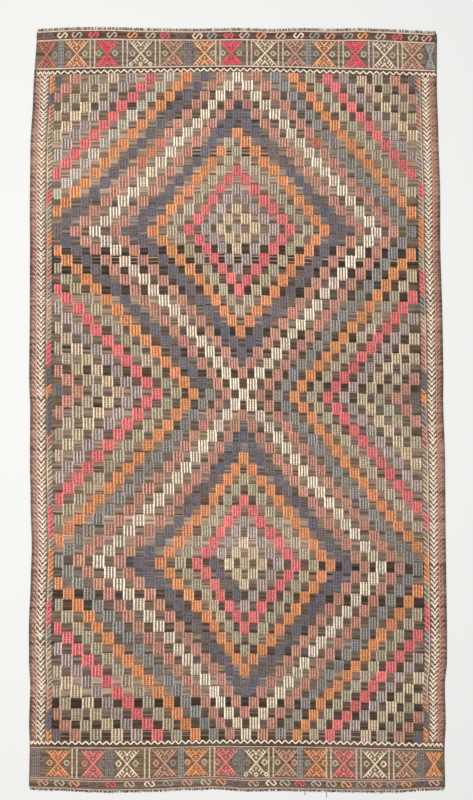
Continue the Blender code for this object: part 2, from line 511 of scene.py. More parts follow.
def make_mesh(name, points, faces, colours, yarn_uv, corner_map):
    """A mesh object with its dye and painted shade, its place on the yarn and a flat map (one row a face
    corner).
    """
    mesh = bpy.data.meshes.new(name)
    mesh.vertices.add(len(points))
    mesh.vertices.foreach_set("co", points.astype(np.float32).ravel())
    mesh.loops.add(faces.size)
    mesh.loops.foreach_set("vertex_index", faces.astype(np.int32).ravel())
    mesh.polygons.add(len(faces))
    mesh.polygons.foreach_set("loop_start", np.arange(0, faces.size, faces.shape[1], dtype=np.int32))
    mesh.polygons.foreach_set("use_smooth", np.ones(len(faces), bool))
    mesh.update(calc_edges=True)
    # This colour attribute holds the yarns' dye together with painted shade in dips, hollows and along weft
    # lines.
    colour = mesh.color_attributes.new("DyeAndPaintedShade", "FLOAT_COLOR", "POINT")
    rgba = np.concatenate([colours, np.ones((len(colours), 1))], 1)
    colour.data.foreach_set("color", rgba.astype(np.float32).ravel())
    for layer, values in (("OFBake", corner_map), ("Yarn", yarn_uv[faces.ravel()])):
        uv = mesh.uv_layers.new(name=layer)
        uv.data.foreach_set("uv", values.astype(np.float32).ravel())
    item = bpy.data.objects.new(name, mesh)
    bpy.context.scene.collection.objects.link(item)
    return item


# How far in from the unit square's sides a flat map stays.
MAP_MARGIN = 0.002


def flat_map(points):
    """Seen from above, filling the unit square."""
    low = points[:, :2].min(0)
    high = points[:, :2].max(0)
    return MAP_MARGIN + (1 - 2 * MAP_MARGIN) * (points[:, :2] - low) / (high - low)


# Painted shade: how much darker a ridge is where it narrows, in the dips between its humps and at its ends.
NARROW_SHADE = 0.35
# Across a ridge of yarn: place from side to side in half widths, and height.
RIDGE_ACROSS = np.array([-1.0, -0.52, 0.52, 1.0])
RIDGE_UP = np.array([0.0, 0.92, 0.92, 0.0])
RIDGE_SINK = 0.0002
# A bed's place in its own pattern of low yarn: one turn for this length.
BED_PITCH = 0.009


def add_ridges(mesh, lines, widths, height, colours, swellings, ends=(0.35, 0.35), level=None):
    """Raised yarn along each line: lines (m, s, 2), widths and colours one for each line.

    swellings say how full the yarn is at each of a line's places, where less fullness also means painted
    shade, and ends how high its two ends are.
    The yarn sits in the cloth's upper side, or at a level of its own.
    """
    count, steps = lines.shape[:2]
    tangent = np.gradient(lines, axis=1)
    tangent /= np.maximum(np.linalg.norm(tangent, axis=2, keepdims=True), 1e-9)
    normal = np.stack([tangent[..., 1], -tangent[..., 0]], -1)
    rise = swellings.copy()
    rise[[0, -1]] = ends
    half = np.asarray(widths).reshape(-1, 1) / 2 * (0.8 + 0.2 * swellings)
    half = np.broadcast_to(half, (count, steps)).copy()
    half[:, [0, -1]] *= 0.7
    across = RIDGE_ACROSS[None, None, :, None]
    flat = lines[:, :, None, :] + normal[:, :, None, :] * half[:, :, None, None] * across
    z = RIDGE_UP * (height * rise)[None, :, None]
    if level is None:
        z = cloth_top(flat[..., 0], flat[..., 1]) + z
        z[..., [0, -1]] -= RIDGE_SINK
    else:
        z = np.full(flat.shape[:3], level) + z
    points = np.concatenate([flat, z[..., None]], -1).reshape(-1, 3)
    sides = len(RIDGE_ACROSS)
    start = (np.arange(count)[:, None, None] * steps + np.arange(steps - 1)[None, :, None]) * sides
    start = start + np.arange(sides - 1)
    faces = np.stack([start, start + 1, start + sides + 1, start + sides], -1).reshape(-1, 4)
    length = np.cumsum(np.linalg.norm(np.diff(lines, axis=1), axis=2), 1)
    length = np.concatenate([np.zeros((count, 1)), length], 1)
    along = np.broadcast_arrays(RIDGE_ACROSS[None, None, :], length[:, :, None])
    along = np.stack(along, -1).reshape(-1, 2)
    # Painted shade: the yarn is darker where the ridge narrows.
    painted_shade = 1 - NARROW_SHADE * (1 - swellings)
    tint = np.repeat(colours, steps, axis=0) * np.tile(painted_shade, count)[:, None]
    mesh.add(points, faces, np.repeat(tint, sides, axis=0), along)


def add_beds(mesh, corners, colours, lift=BED_LIFT, along=None):
    """The yarn that shows low between ribs: corners (m, 4, 2), anticlockwise."""
    if along is None:
        along = corners / BED_PITCH
    z = cloth_top(corners[..., 0], corners[..., 1]) + lift
    points = np.concatenate([corners, z[..., None]], -1).reshape(-1, 3)
    faces = np.arange(len(points)).reshape(-1, 4)
    mesh.add(points, faces, np.repeat(colours, 4, axis=0), along.reshape(-1, 2))


def dye(name, count, spread=0.07, hollow=False):
    """count slightly different takes of a yarn's colour, in linear light. With hollow set, its colour in
    the hollows between ribs, darkened in part by painted shade.
    """
    colour = linear(YARNS[name][1 if hollow else 0])
    light = 1 + vary(spread, count, 1)
    lean = vary(1, count, 3)
    if name == "sage":
        lean = 0.6 - np.abs(lean) * (1, 0, 1)
    if name in MOTTLED_YARNS:
        lean = lean[:, :1] * (1, 0.2, -1)
    cast = 1 + DYE_CAST.get(name, 0.3) * spread * lean
    return np.clip(colour * light * cast, 0, 1)


def wash(name, fill, tone):
    """A yarn's hollow colour thinned with a tone of the ground: fill is the yarn's share."""
    return fill * dye(name, 1, hollow=True) + (1 - fill) * linear(GROUND_TONES[tone])


def abrash(column, row):
    """Slow changes of shade from one dye lot to the next, and lighter towards the head and the left."""
    wave = np.sin(0.31 * row + 0.12 * column) + np.sin(0.83 * row - 0.21 * column + 1.3)
    toward_head_left = 1 - 2 * row / ROWS - column / LAST_COLUMN
    return 1.03 + 0.045 * wave + 0.05 * toward_head_left


# ================================================================ pattern

MESHES = {name: YarnMesh() for name in YARNS}
BEDS = YarnMesh()


# Brocaded cells out of step with the pattern: column, row and yarn.
ODD_CELLS = (
    (-4, 48, "slate"), (-3, 49, "slate"), (-2, 50, "slate"), (-1, 51, "slate"),
    (-1, 7, "sage"), (-9, 7, "rust"), (-10, 8, "rust"), (-11, 9, "rust"), (9, 7, "rust"),
)


def field_cells():
    """Every brocaded cell: its column, its row and its yarn."""
    odd = {(column, row): name for column, row, name in ODD_CELLS}
    cells = {name: [] for name in YARNS}
    for row in range(ROWS):
        for column in range(-LAST_COLUMN, LAST_COLUMN + 1):
            if (column + row) % 2 == 0:
                steps = min(abs(column) + abs(row - middle) for middle in DIAMOND_ROWS)
                name = DIAMOND_YARNS[steps // 2]
                # The outer slate line turns grey at the right and in the lower half.
                if name == "slate" and 18 < steps < 23 and (column > 0 or row > 31):
                    name = "grey"
                # One sage line is paler at the head's left.
                if name == "sage" and 20 < steps < 27 and column < 0 and row < DIAMOND_ROWS[0]:
                    name = "mint"
                name = odd.get((column, row), name)
                cells[name].append((column, row))
    return cells


# Small slips of each cell's place, in columns and in rows.
COLUMN_SHIFT = vary(0.035, 2 * LAST_COLUMN + 1, 1) * np.ones((1, ROWS))
COLUMN_SHIFT = COLUMN_SHIFT + vary(0.045, 2 * LAST_COLUMN + 1, ROWS)
ROW_SHIFT = vary(0.045, 2 * LAST_COLUMN + 1, ROWS)


def weave_field():
    """Ribs, and the low yarn between them, in every brocaded cell."""
    for name, cells in field_cells().items():
        if cells:
            weave_cells(name, np.array(cells))


def weave_cells(name, cells):
    """All cells of one yarn, each given by its column and its row."""
    count = len(cells)
    shade = abrash(*cells.T)[:, None]
    start = RIB_START + vary(RIB_SLIP, count)
    end = RIB_END + vary(RIB_SLIP, count)
    first = np.where(cells[:, 0] == -LAST_COLUMN, FIRST_RIB + RIB_PITCH, FIRST_RIB)
    last = np.full(count, FIRST_RIB + RIBS_A_CELL * RIB_PITCH)
    column = cells[:, 0] + COLUMN_SHIFT[cells[:, 0] + LAST_COLUMN, cells[:, 1]]
    row = cells[:, 1] + ROW_SHIFT[cells[:, 0] + LAST_COLUMN, cells[:, 1]]
    low = dye(name, count, hollow=True) * shade
    sides = ((first, end), (last, end), (last, start), (first, start))
    corners = np.stack([cell_place(column + side, row + at) for side, at in sides], 1)
    dots = np.stack([np.stack([column + side, (row + at) * DOTS_A_CELL], -1) for side, at in sides], 1)
    lift = np.where(cells[:, 1] % 2 == 0, BED_LIFT, BED_LIFT + LIFT_STEP)
    add_beds(BEDS, corners, low, lift[:, None], dots)
    high = dye(name, count) * shade
    for rib in range(RIBS_A_CELL + 1):
        offset = FIRST_RIB + rib * RIB_PITCH
        keep = (offset > first - 0.01) & (offset < last + 0.01)
        outer = rib in (0, RIBS_A_CELL)
        weave_ribs(name, column[keep] + offset, row[keep], start[keep], end[keep], high[keep], outer)


def weave_ribs(name, across, row, start, end, colours, outer):
    """One rib of each cell: where it lies across, in columns, and its start and end in its row."""
    steps = 2 * RIB_HUMPS + 1
    swellings = np.where(np.arange(steps) % 2 == 1, 1.0, 0.6)
    swellings[-2] = 0.45
    number = len(across)
    wander = vary(0.012, number, 1)
    ends = np.linspace(0, 1, steps) * (end - start)[:, None] + start[:, None]
    ends = ends + vary(0.02, number, 1)
    lines = cell_place(across[:, None] + wander, row[:, None] + ends)
    width = RIB_WIDTH_SHARE * RIB_PITCH * COLUMN_PITCH * (OUTER_RIB if outer else INNER_RIB)
    widths = width * (1 + vary(0.07, number))
    tint = colours * (1 + vary(0.05, number, 1))
    if name in MOTTLED_YARNS:
        tint = tint * (1 + vary(0.05, number, 1) * (1, 0.2, -1))
    add_ridges(MESHES[name], lines, widths, RIB_HEIGHT, tint, swellings, RIB_ENDS)


def strokes(name, starts, ends, width, steps=5, spread=0.05):
    """Straight raised strokes of one yarn from starts to ends, (m, 2) each."""
    starts = np.asarray(starts, float)
    ends = np.asarray(ends, float)
    t = np.linspace(0, 1, steps)[None, :, None]
    lines = starts[:, None, :] * (1 - t) + ends[:, None, :] * t
    swellings = np.where(np.arange(steps) % 2 == 1, 1.0, 0.8)
    colours = dye(name, len(lines), spread)
    add_ridges(MESHES[name], lines, np.full(len(lines), width), STROKE_HEIGHT, colours, swellings)


def trail(name, corners, width, spacing=0.0022, spread=0.05):
    """One raised line of yarn through corners, with rounded bends."""
    corners = np.asarray(corners, float)
    reach = np.concatenate([[0.0], np.cumsum(np.linalg.norm(np.diff(corners, axis=0), axis=1))])
    steps = int(reach[-1] / spacing) | 1
    at = np.linspace(0, reach[-1], steps)
    line = np.stack([np.interp(at, reach, corners[:, 0]), np.interp(at, reach, corners[:, 1])], -1)
    for _ in range(2):
        line[1:-1] = (line[:-2] + 2 * line[1:-1] + line[2:]) / 4
    swellings = np.where(np.arange(steps) % 2 == 1, 1.0, 0.85)
    add_ridges(MESHES[name], line[None], np.array([width]), STROKE_HEIGHT, dye(name, 1, spread), swellings)


def yarns_at(table, rows):
    """A border's yarn at each row, from its table of changes."""
    names = np.array([name for _, name in table])
    return names[reached([start for start, _ in table], rows)]


def weave_side_border(side, outer_yarn, inner_yarns):
    """A rose half chevron, cream chevrons and a many-coloured half chevron, from the selvedge in."""
    rows = (np.arange(CHEVRONS) + 0.7) * ROWS / CHEVRONS
    rows = rows + vary(0.03, CHEVRONS)
    spine_rows = np.linspace(0.15, ROWS - 0.05, 2 * CHEVRONS)
    low = border_place(side, ROSE_SPINE, rows)
    high = border_place(side, ROSE_SPINE - ROSE_REACH, rows - CHEVRON_RISE)
    strokes(outer_yarn, low, high, ROSE_WIDTH)
    spine = border_place(side, ROSE_SPINE, spine_rows)
    strokes(outer_yarn, spine[:-1], spine[1:], ROSE_SPINE_WIDTH, steps=3)

    middle = LEFT_CREAM_MIDDLE if side is LEFT_SIDE else RIGHT_CREAM_MIDDLE
    for reach in (-CREAM_REACH, CREAM_REACH):
        tip = border_place(side, middle + reach, rows - CHEVRON_RISE)
        tail = border_place(side, middle - reach * CHEVRON_TAIL, rows + CHEVRON_RISE * CHEVRON_TAIL)
        strokes("cream", tail, tip, CREAM_WIDTH, spread=0.06)
    weave_inner_chevrons(side, inner_yarns, rows, spine_rows)


def weave_inner_chevrons(side, inner_yarns, rows, spine_rows):
    """A half chevron that changes its yarn along the border, over low yarn of its own."""
    near, far = INNER_SPINE, INNER_SPINE + INNER_REACH * 0.9
    step = ROWS / CHEVRONS
    turns = ((near, step), (far, step - CHEVRON_RISE), (far, -CHEVRON_RISE), (near, 0.0))
    names = yarns_at(inner_yarns, rows)
    for name in np.unique(names):
        chosen = rows[names == name]
        low = border_place(side, INNER_SPINE, chosen)
        high = border_place(side, INNER_SPINE + INNER_REACH, chosen - CHEVRON_RISE)
        strokes(name, low, high, INNER_WIDTH)
        corners = np.stack([border_place(side, inset, chosen + at) for inset, at in turns], 1)
        if side is RIGHT_SIDE:
            corners = corners[:, ::-1]
        add_beds(BEDS, corners, dye(name, len(chosen), hollow=True))
    names = yarns_at(inner_yarns, spine_rows[:-1])
    spine = border_place(side, INNER_SPINE, spine_rows)
    for name in np.unique(names):
        keep = names == name
        strokes(name, spine[:-1][keep], spine[1:][keep], INNER_SPINE_WIDTH, steps=3)


def held_in(places, room):
    """places (n, 2) kept at least room in from the selvedges."""
    low = edge(LEFT_SIDE, places[:, 1]) + room
    high = edge(RIGHT_SIDE, places[:, 1]) - room
    return np.stack([np.clip(places[:, 0], low, high), places[:, 1]], -1)


def weave_line(row, yarn, width):
    """A thin line along the weft, from one selvedge to the other."""
    x = np.linspace(-BAND_REACH, BAND_REACH, 300)
    line = np.stack([x, weft_y(np.full(x.shape, float(row)), x)], -1)
    trail(yarn, held_in(line, LINE_ROOM), width, spread=0.03)


def weave_lines():
    """The thin lines that part the end bands."""
    head, pair, foot = LINE_WIDTHS
    for row in (HEAD_RIM, HEAD_INNER, HEAD_LINE):
        weave_line(row, "blush", head)
    weave_line(FOOT_LINE, "fawn", foot)
    for row in (FOOT_INNER, FOOT_INNER + FOOT_PAIR_GAP):
        weave_line(row, "fawn", pair)
    weave_line(FOOT_RIM, "fawn", foot)


def weave_zigzag(row):
    """The cream zigzag between an end band and the field, tighter over the side borders."""
    peaks = [-ZIGZAG_REACH]
    while peaks[-1] < ZIGZAG_REACH:
        near_edge = abs(peaks[-1]) > ZIGZAG_TIGHT
        peaks.append(peaks[-1] + (ZIGZAG_EDGE_PERIOD if near_edge else ZIGZAG_PERIOD) / 2)
    x = np.array(peaks)
    up = np.where(np.arange(len(x)) % 2 == 0, 1.0, -1.0) * ZIGZAG_HALF_HEIGHT
    line = np.stack([x, weft_y(np.full(x.shape, float(row)), x) + up], -1)
    trail("cream", held_in(line, LINE_ROOM), ZIGZAG_WIDTH, spread=0.03)


def band_place(rows, middle, across, up):
    """A place in an end band: middle and across in metres, up from -1 at its foot to 1 at its head."""
    across = np.asarray(across, float)
    up = np.asarray(up, float)
    x = middle + across
    top = weft_y(np.full(x.shape, float(rows[0])), x)
    bottom = weft_y(np.full(x.shape, float(rows[1])), x)
    return np.stack([x, (top + bottom) / 2 + up * (top - bottom) / 2], -1)


def cross_strokes(diamond_feet):
    """One comb cross in units of its half width and half height: (start, end) pairs."""
    foot = 0.70 if diamond_feet else 1.0
    pairs = [((-1, 1), (foot, -foot)), ((1, 1), (-foot, -foot))]
    for up in (1, -1):
        pairs.append(((0, 0.30 * up), (0, 0.48 * up)))
        footed = up < 0 and diamond_feet
        if not footed:
            pairs.append(((-0.32, 0.98 * up), (0.10, 0.60 * up)))
            pairs.append(((0.32, 0.98 * up), (-0.10, 0.60 * up)))
        for side in (1, -1):
            for arm in (0.40, 0.56) if footed else (0.44, 0.60, 0.76):
                pairs.append(((side * arm, arm * up), (side * (arm - 0.21), (arm + 0.23) * up)))
    return pairs


def weave_cross(rows, place, name, fill, height, shift):
    """One cross with comb teeth over a wash of its own yarn."""
    middle = place * MM
    half_width = min(CROSS_HALF_WIDTH, BAND_REACH - abs(middle))
    diamond_feet = place in DIAMOND_FOOTED_MM
    pairs = np.array(cross_strokes(diamond_feet), float) * (half_width, height) + (0, shift)
    starts = band_place(rows, middle, pairs[:, 0, 0], pairs[:, 0, 1])
    ends = band_place(rows, middle, pairs[:, 1, 0], pairs[:, 1, 1])
    strokes(name, starts, ends, CROSS_WIDTH)
    for up in (1, -1):
        wedge = np.array([(0, 0), (-0.94, 0.94 * up), (0, 0.94 * up), (0.94, 0.94 * up)][::up])
        corners = band_place(rows, middle, wedge[:, 0] * half_width, wedge[:, 1] * height + shift)
        add_beds(BEDS, corners[None], wash(name, fill, "clay"))
    if diamond_feet:
        for across in (-0.84, 0, 0.84):
            weave_small_diamond(rows, middle + across * half_width, name, -0.77, FOOT_DIAMOND_HALF)


def weave_end_band(rows, crosses, bars, fills, cross_fill, own_outside):
    """Crosses, upright bars and small diamonds between two weft lines.

    Where own_outside is set, the small diamonds on a cross's outer side are of the cross's yarn.
    """
    for place, name in crosses:
        weave_cross(rows, place, name, fills.get(name, OPEN_FILL), *cross_fill)
    for place, name in bars:
        offsets = (-BAR_OFFSET, BAR_OFFSET)
        width = BAR_WIDTH
        if name in SOLID_BARS:
            reach, waist, offsets = SOLID_BARS[name]
            width = SOLID_STRAND_WIDTH
            weave_dark_bar(rows, place * MM, name, reach, waist)
        ups = np.linspace(-BAR_HALF_HEIGHT, BAR_HALF_HEIGHT, 9)
        for offset in offsets:
            line = band_place(rows, place * MM, np.full(ups.shape, offset), ups)
            strokes(name, line[:-1], line[1:], width, steps=3)
    for place, name in crosses:
        for side in (-1, 1):
            nearest = min(bars, key=lambda bar: abs(bar[0] - place - side * BAR_FROM_CROSS_MM))
            own = own_outside and side * (place - BAND_MIDDLE_MM) > 0
            middle = place * MM + side * DIAMOND_OFFSET
            if abs(place) < PANEL_START_MM and abs(middle) < DIAMOND_REACH:
                weave_small_diamond(rows, middle, name if own else nearest[1])


def weave_dark_bar(rows, middle, name, reach, waist=0.0):
    """Mottled low yarn behind a solid bar, widening to the small diamonds at its sides."""
    ups = np.linspace(-BAR_HALF_HEIGHT, BAR_HALF_HEIGHT, 27)
    for low, high in zip(ups[:-1], ups[1:]):
        wide = reach + waist * max(0.0, 1 - abs(low + high) / 0.8)
        sides = np.linspace(-wide, wide, 9)
        for left, right in zip(sides[:-1], sides[1:]):
            corners = band_place(rows, middle, (left, right, right, left), (low, low, high, high))
            colour = dye(name, 1, spread=0.12, hollow=True)
            add_beds(BEDS, held_in(corners, BAR_ROOM)[None], colour, BED_LIFT + LIFT_STEP)


def weave_small_diamond(rows, middle, name, up=0.0, half=DIAMOND_HALF):
    """A small diamond round a darker hollow: up says how far along the band, from -1 to 1."""
    turns = np.array([(0, 1), (1, 0), (0, -1), (-1, 0), (0, 1)], float)
    corners = band_place(rows, middle, turns[:, 0] * half, up + turns[:, 1] * half / BAND_HALF_HEIGHT)
    add_beds(BEDS, corners[None, 3::-1], wash(name, DIAMOND_FILL, "clay"), BED_LIFT + 2 * LIFT_STEP)
    trail(name, corners, DIAMOND_WIDTH)


def weave_hooks(rows, hooks, upright):
    """The row of hooks along an end."""
    turn = 1 if upright else -1
    bends = np.array(HOOK_MM, float) * MM
    bends[:, 1] *= 1 if upright else -FOOT_HOOK_HEIGHT
    for place, name in hooks:
        centre = band_place(rows, place * MM, 0.0, 0.0)
        if name in WASHED_HOOKS:
            corners = (centre + HOOK_WASH * (1, turn))[None, ::turn]
            add_beds(BEDS, corners, wash(name, HOOK_FILL, "umber"))
        trail(name, centre + bends, HOOK_WIDTHS[0 if upright else 1])


# ================================================================ ground cloth

# How far apart rows of vertices are at most, and over how much of a row a band's tone changes.
GROUND_ROW_STEP = 0.5
SHARP = 0.012
# How much lighter or darker than its band a plain cell may be.
CELL_SPREAD = 0.16
# Pale weft bands run on evenly from cell to cell: from which lightness, and how evenly.
PALE_RANGE = (0.10, 0.20)
PALE_CALM = 0.65
# All but the darkest weft bands are a little paler in the field than in the end bands.
FADED_RANGE = (0.05, 0.11)
FADED_LIFT = 1.09
# Painted shade along the weft lines between rows of cells, where ribs turn down: how much darker those
# lines are, and how much lighter all between them.
TURN_DEPTH = (0.08, 0.50)
TURN_LIFT = 1.06
# How plain cells differ in hue: from olive to plum, and from red to green.
CELL_HUE_LEANS = ((0.02, 0.0, -0.07), (-0.025, 0.025, 0.0))
# The side borders' ground: from this far in from the selvedge, its tone.
BORDER_GROUND = (
    (0.0, (106, 89, 79)), (0.0085, (142, 106, 91)), (0.031, (122, 99, 79)), (0.0625, (134, 112, 95)),
)
BORDER_WIDTH = 0.0895
# The column that stands for the side borders, and how far the cloth's corners are rounded.
NO_COLUMN = 99.0
CORNER_ROUND = 0.006
# How much of that tone shows over the weft bands, which run on through the borders.
BORDER_SHARE = 0.7


def field_bands():
    """The tone of each row's weft band at the left, the middle and the right: (rows, 3, 3), sRGB."""
    scale = np.array([GROUND_TONES[name] for name in TONE_SCALE], float)
    starts = [stretch[0] for stretch in FIELD_STRETCHES]
    light = np.array([stretch[1:] for stretch in FIELD_STRETCHES])[reached(starts, np.arange(ROWS + 1))]
    light = light + BAND_WANDER[0] * BAND_RANDOM.standard_normal((ROWS + 1, 1))
    light = light + BAND_WANDER[1] * BAND_RANDOM.standard_normal((ROWS + 1, 3))
    light = np.clip(light, 0, len(scale) - 1)
    return np.stack([np.interp(light, np.arange(len(scale)), scale[:, part]) for part in range(3)], -1)


def band_tones(rows, x):
    """The ground's colour from its weft bands: rows (n,), x (n, m), giving (n, m, 3) in linear light."""
    ends = np.array([GROUND_TONES[name] for _, name in END_GROUND], float)
    ends = ends[reached([start for start, _ in END_GROUND], rows)]
    field = field_bands()[reached(np.arange(ROWS + 1), rows)]
    in_field = ((rows >= 0) & (rows < FOOT_GROUND_ROW))[:, None, None]
    tones = np.where(in_field, field, ends[:, None])
    share = weights(x, np.array(TONE_PLACES_MM) * MM)
    out = linear((tones[:, None] * share[..., None]).sum(-2))
    for row, name, thick, first, last in WEFT_STREAKS:
        inside = (x >= first * MM) & (x <= last * MM)
        inside &= ((rows >= row) & (rows < row + thick))[:, None]
        out[inside] = (1 - STREAK_SHARE) * out[inside] + STREAK_SHARE * linear(GROUND_TONES[name])
    return out


def ground_rows():
    """The rows of the ground's vertices: close together wherever a weft band changes."""
    changes = [start for start, _ in END_GROUND[1:]] + list(range(ROWS + 1))
    changes += [streak[0] for streak in WEFT_STREAKS]
    changes += [streak[0] + streak[2] for streak in WEFT_STREAKS]
    changes = np.unique(np.array(changes, float).round(4))
    plain = np.arange(HEAD_RIM, FOOT_RIM, GROUND_ROW_STEP)
    head = HEAD_RIM + (HEAD_END - HEAD_RIM) * np.array([1.0, 0.75, 0.4])
    foot = FOOT_RIM + (FOOT_END - FOOT_RIM) * np.array([0.4, 0.75, 1.0])
    return np.unique(np.concatenate([head, plain, changes - SHARP, changes + SHARP, foot]).round(4))


def ground_insets():
    """How far in from the selvedge the side borders' vertices lie."""
    changes = np.array([zone[0] for zone in BORDER_GROUND[1:]] + [BORDER_WIDTH])
    return np.sort(np.concatenate([[0.0, 0.0006, 0.0014, 0.006], changes - 0.0005, changes + 0.0005]))


def ground_grid(rows):
    """The ground's vertices (rows, across, 2), how far in each lies, and each one's column."""
    columns = np.arange(-LAST_COLUMN - 0.5, LAST_COLUMN + 0.51, 0.5)
    insets = ground_insets()
    row = rows[:, None]
    field = cell_place(columns[None, :], row)
    parts = []
    for side, sign in ((LEFT_SIDE, -1), (RIGHT_SIDE, 1)):
        x = np.full((len(rows), len(insets)), sign * 0.82)
        for _ in range(3):
            y = weft_y(np.broadcast_to(row, x.shape), x)
            to_end = np.minimum(edge(HEAD_SIDE, x) - y, y - edge(FOOT_SIDE, x))
            cut = CORNER_ROUND * np.clip(1 - to_end / CORNER_ROUND, 0, 1) ** 2
            x = edge(side, y) - sign * (cut + insets)
        parts.append(np.stack([x, weft_y(np.broadcast_to(row, x.shape), x)], -1))
    inner = np.clip(field[:, 1:-1, 0], parts[0][:, -1:, 0] + 0.0015, parts[1][:, -1:, 0] - 0.0015)
    field[:, 1:-1, 0] = inner
    flat = np.concatenate([parts[0], field[:, 1:-1], parts[1][:, ::-1]], 1)
    inset = np.concatenate([insets, np.full(len(columns) - 2, 1.0), insets[::-1]])
    outside = np.full(len(insets), NO_COLUMN)
    column = np.concatenate([-outside, columns[1:-1], outside])
    return flat, inset, column


# Plain cells beside these yarns take some of their colour: yarn, steps from a diamond's middle,
# share along its sides, and share at its tips.
NEIGHBOUR_TINTS = (
    ("slate", (13,), 0.16, 0.95),
    ("slate", (11,), 0.0, 0.70),
    ("grey", (19, 21), 0.06, 0.06),
    ("orange", (9, 11, 23), 0.08, 0.04),
    ("red", (5, 7, 25, 27), 0.06, 0.06),
    ("blush", (15, 17), 0.07, 0.07),
)
TIP_CELLS = 2


def cell_tints(rows, column):
    """How each plain cell of the field differs from its weft band: (rows, across, 3) factors."""
    cells = np.exp(CELL_SPREAD * RANDOM.standard_normal((ROWS + 2, 2 * LAST_COLUMN + 3, 1)))
    for lean in CELL_HUE_LEANS:
        cells = cells * (1 + np.clip(RANDOM.standard_normal(cells.shape[:2] + (1,)), -1.3, 1.6) * lean)
    row = np.clip(np.floor(rows), -1, ROWS).astype(int)[:, None]
    near = np.clip(np.floor(column + 0.5), -LAST_COLUMN - 1, LAST_COLUMN + 1).astype(int)[None, :]
    before = np.clip(np.ceil(column - 0.5), -LAST_COLUMN - 1, LAST_COLUMN + 1).astype(int)[None, :]
    plain = np.where((near + row) % 2 == 1, near, before)
    tint = cells[row + 1, plain + LAST_COLUMN + 1]
    inside = (np.abs(column) < NO_COLUMN)[None, :] & (row >= 0) & (row < ROWS)
    rise = np.min([np.abs(row - middle) for middle in DIAMOND_ROWS], axis=0)
    steps = np.abs(plain) + rise
    tips = (np.abs(plain) <= TIP_CELLS) | (rise <= TIP_CELLS)
    for name, near_steps, share, at_tips in NEIGHBOUR_TINTS:
        touched = np.isin(steps, near_steps)[..., None]
        share = np.where(tips, at_tips, share)[..., None]
        toward = linear(YARNS[name][0]) / linear(GROUND_TONES["tan"])
        tint = np.where(touched, tint * (1 - share + share * toward), tint)
    return np.where(inside[..., None], tint, 1.0)


def turn_shade(rows):
    """Painted shade, darker along the weft lines where ribs turn down: one factor for each row of vertices.
    """
    line = np.round(rows)
    painted_shade = RANDOM.uniform(*TURN_DEPTH, ROWS + 1)[np.clip(line, 0, ROWS).astype(int)]
    near = np.interp(np.abs(rows - line), (SHARP, 0.15), (1, 0))
    return np.where((rows > 0) & (rows < ROWS), TURN_LIFT - painted_shade * near, 1.0)


def ground_colours(rows, flat, inset, column):
    """The ground's colour at each vertex, in linear light, with painted shade along the weft lines where
    ribs turn down.
    """
    x = flat[..., 0]
    bands = band_tones(rows, x) * turn_shade(rows)[:, None, None]
    calm = np.interp(bands.mean(-1), PALE_RANGE, (0, 1))[..., None]
    field = ((rows > 0) & (rows < ROWS))[:, None]
    faded = np.where(field, np.interp(bands.mean(-1), FADED_RANGE, (1, FADED_LIFT)), 1.0)[..., None]
    colour = bands * faded * cell_tints(rows, column) ** (1 - PALE_CALM * calm)
    zones = np.array([zone[0] for zone in BORDER_GROUND])
    tones = linear(np.array([zone[1] for zone in BORDER_GROUND], float))
    zone = tones[reached(zones, inset)]
    bordered = (inset < BORDER_WIDTH)[None, :] & ((rows > HEAD_ZIGZAG) & (rows < FOOT_ZIGZAG))[:, None]
    return np.where(bordered[..., None], BORDER_SHARE * zone[None] + (1 - BORDER_SHARE) * colour, colour)


def ground_faces(count, wide):
    """The upper side's faces, then the under side's, which share the rim's vertices, and its vertices."""
    index = np.arange(count * wide).reshape(count, wide)
    below = index.copy()
    below[1:-1, 1:-1] += count * wide
    quads = np.stack([index[:-1, :-1], index[1:, :-1], index[1:, 1:], index[:-1, 1:]], -1)
    back = np.stack([below[:-1, :-1], below[:-1, 1:], below[1:, 1:], below[1:, :-1]], -1)
    return np.concatenate([quads.reshape(-1, 4), back.reshape(-1, 4)]), below


def make_ground():
    """The weft-faced ground cloth: one closed sheet on the outline of its solid."""
    rows = ground_rows()
    flat, inset, column = ground_grid(rows)
    x, y = flat[..., 0], flat[..., 1]
    count, wide = x.shape
    ends = np.minimum(np.arange(count), np.arange(count)[::-1])[:, None] * 0.0011
    round_off = np.clip(np.minimum(inset[None, :], ends) / EDGE_ROUND, 0, 1)
    crown = GROUND_TOP * (0.5 + 0.5 * np.sqrt(1 - (1 - round_off) ** 2))
    top = np.stack([x, y, swell(x, y) + crown], -1).reshape(-1, 3)
    under = np.stack([x, y, swell(x, y) + GROUND_TOP - crown], -1).reshape(-1, 3)
    faces, below = ground_faces(count, wide)
    points = np.concatenate([top, under])
    colour = ground_colours(rows, flat, inset, column).reshape(-1, 3)
    colours = np.concatenate([colour, colour])
    place = np.stack([x, np.broadcast_to(rows[:, None], x.shape) * ROW_PITCH], -1).reshape(-1, 2)
    yarn_uv = np.concatenate([place, place])
    keep = np.concatenate([np.ones(count * wide, bool), np.zeros(count * wide, bool)])
    keep[below[1:-1, 1:-1].ravel()] = True
    renumber = np.cumsum(keep) - 1
    corners = flat_map(points)[faces.ravel()]
    corners[:, 0] = corners[:, 0] / 2
    corners[faces.size // 2:, 0] += 0.5
    return make_mesh("kilim_ground", points[keep], renumber[faces], colours[keep], yarn_uv[keep], corners)


# ================================================================ fringe

